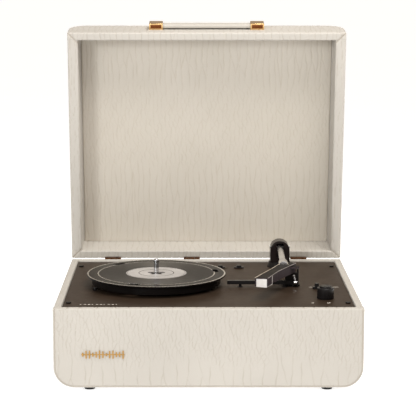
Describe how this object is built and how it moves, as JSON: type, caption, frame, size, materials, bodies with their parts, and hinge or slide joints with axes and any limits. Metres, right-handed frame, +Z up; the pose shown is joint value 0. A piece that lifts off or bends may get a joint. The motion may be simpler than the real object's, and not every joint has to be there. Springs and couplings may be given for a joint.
{
  "type": "suitcase record player",
  "caption": "Portable suitcase record player: leatherette case with hinged lid and strap handle, belt-driven platter, tonearm and controls on a black deck.",
  "frame": {"origin": "middle of the whole object's footprint with the lid open, on the surface its feet stand on", "axes": "+X to the right seen from the front, +Y to the back, where the lid is hinged, +Z up"},
  "size_m": [0.4, 0.4002, 0.4648],
  "materials": {
    "leatherette": "cream crocodile-embossed leatherette over fibreboard",
    "lid_lining": "cream crocodile-embossed leatherette lining",
    "handle_leather": "cream leatherette strap, stitched edges",
    "pine": "raw softwood batten",
    "deck_black": "warm black satin moulded deck",
    "gloss_black": "glossy black moulding",
    "control_black": "black moulded control",
    "satin_black": "satin black moulding",
    "hidden_plastic": "dark moulded inner part",
    "rubber": "matt black rubber",
    "belt_rubber": "matt black belt rubber",
    "black_screw": "black oxide screw",
    "zinc_screw": "zinc-plated screw",
    "steel": "plain steel",
    "chrome": "polished chrome",
    "arm_silver": "satin silver tube",
    "trim_silver": "bright silver inlaid ring",
    "label_silver": "silver-grey printed disc",
    "brass": "polished brass",
    "dark_brass": "aged brass hinge",
    "gold_foil": "gold emblem",
    "cartridge_white": "white cartridge moulding",
    "stylus_red": "pale stylus holder",
    "platter_black": "glossy black platter with fine rings",
    "grey_plastic": "grey screw head",
    "magnet": "sintered magnet",
    "paper_cone": "black paper cone",
    "grille_metal": "black perforated steel",
    "circuit_board": "green circuit board",
    "components": "electronic components"
  },
  "bodies": {
    "base": {"case_wrap": "leatherette", "case_front_board": "leatherette", "case_rear_board": "leatherette", "deck_battens": "pine", "rubber_feet": "rubber", "foot_screws": "zinc_screw", "deck_plate": "deck_black", "deck_screws": "black_screw", "front_emblem": "gold_foil", "rear_connector_plate": "satin_black", "rca_jacks": "chrome", "aux_jack": "satin_black", "dc_inlet": "satin_black", "speaker_grilles": "grille_metal", "speaker_frames": "steel", "speaker_cones": "paper_cone", "speaker_magnets": "magnet", "speaker_screws": "zinc_screw", "amplifier_board": "circuit_board", "board_standoffs": "hidden_plastic", "board_components": "components", "drive_motor": "steel", "motor_screws": "black_screw", "drive_belt": "belt_rubber", "spindle": "chrome", "transit_screw": "control_black", "arm_pedestal": "satin_black", "arm_rest": "satin_black", "cue_guide": "hidden_plastic", "volume_pot": "hidden_plastic", "slide_switches": "hidden_plastic", "base_magnets": "magnet", "hinge_base_leaves": "dark_brass"},
    "lid": {"lid_wrap": "leatherette", "lid_front_board": "leatherette", "lid_rear_board": "leatherette", "lid_lining": "lid_lining", "lid_magnets": "magnet", "hinge_lid_leaves": "dark_brass", "hinge_pins": "dark_brass", "handle_end_caps": "brass"},
    "handle": {"handle_strap": "handle_leather"},
    "platter": {"platter": "platter_black", "platter_trim_rings": "trim_silver", "label_disc": "label_silver", "platter_bushing": "brass"},
    "pulley": {"motor_pulley": "brass"},
    "turret": {"arm_turret": "gloss_black", "turret_pin": "chrome"},
    "arm": {"arm_tube": "arm_silver", "arm_collar": "arm_silver", "headshell": "gloss_black", "cartridge": "cartridge_white", "stylus": "stylus_red"},
    "cue_bar": {"cue_bar": "control_black"},
    "cue_lever": {"cue_lever": "chrome"},
    "speed_slider": {"speed_slider": "control_black"},
    "autostop_slider": {"autostop_slider": "control_black"},
    "function_slider": {"function_slider": "control_black"},
    "volume_knob": {"volume_knob": "control_black"}
  },
  "joints": [
    {"name": "lid_hinge", "type": "hinge", "parent": "base", "child": "lid", "pos_m": [0, 0.14103, 0.1127], "axis": [-1, 0, 0], "range_deg": [-82.4, 0]},
    {"name": "handle_lift", "type": "slide", "parent": "lid", "child": "handle", "axis": [0, -0.1323, 0.9912], "range_m": [0, 0.0008]},
    {"name": "platter_spin", "type": "hinge", "parent": "base", "child": "platter", "pos_m": [-0.0705, -0.03218, 0.1194], "axis": [0, 0, -1], "continuous": true},
    {"name": "pulley_spin", "type": "hinge", "parent": "base", "child": "pulley", "pos_m": [-0.12128, 0.02834, 0.1184], "axis": [0, 0, -1], "continuous": true},
    {"name": "arm_swing", "type": "hinge", "parent": "base", "child": "turret", "pos_m": [0.1069, 0.09682, 0.1389], "axis": [0, 0, -1], "range_deg": [0, 29]},
    {"name": "arm_lift", "type": "hinge", "parent": "turret", "child": "arm", "pos_m": [0.1069, 0.09682, 0.1389], "axis": [-1, 0, 0], "range_deg": [0, 8]},
    {"name": "cue_lift", "type": "slide", "parent": "base", "child": "cue_bar", "axis": [0, 0, 1], "range_m": [0, 0.008]},
    {"name": "cue_lever_turn", "type": "hinge", "parent": "base", "child": "cue_lever", "pos_m": [0.1208, -0.04818, 0.115], "axis": [1, 0, 0], "range_deg": [0, 60.5]},
    {"name": "speed_select", "type": "slide", "parent": "base", "child": "speed_slider", "axis": [1, 0, 0], "range_m": [0, 0.008]},
    {"name": "autostop_select", "type": "slide", "parent": "base", "child": "autostop_slider", "axis": [1, 0, 0], "range_m": [0, 0.005]},
    {"name": "function_select", "type": "slide", "parent": "base", "child": "function_slider", "axis": [1, 0, 0], "range_m": [0, 0.016]},
    {"name": "volume_turn", "type": "hinge", "parent": "base", "child": "volume_knob", "pos_m": [0.1557, -0.12417, 0.1174], "axis": [0, 0, -1], "range_deg": [0, 280]}
  ],
  "couplings": [
    {"joint": "pulley_spin", "follows": "platter_spin", "ratio": 18},
    {"joint": "cue_lever_turn", "follows": "cue_lift", "rad_per_m": 130.9}
  ]
}
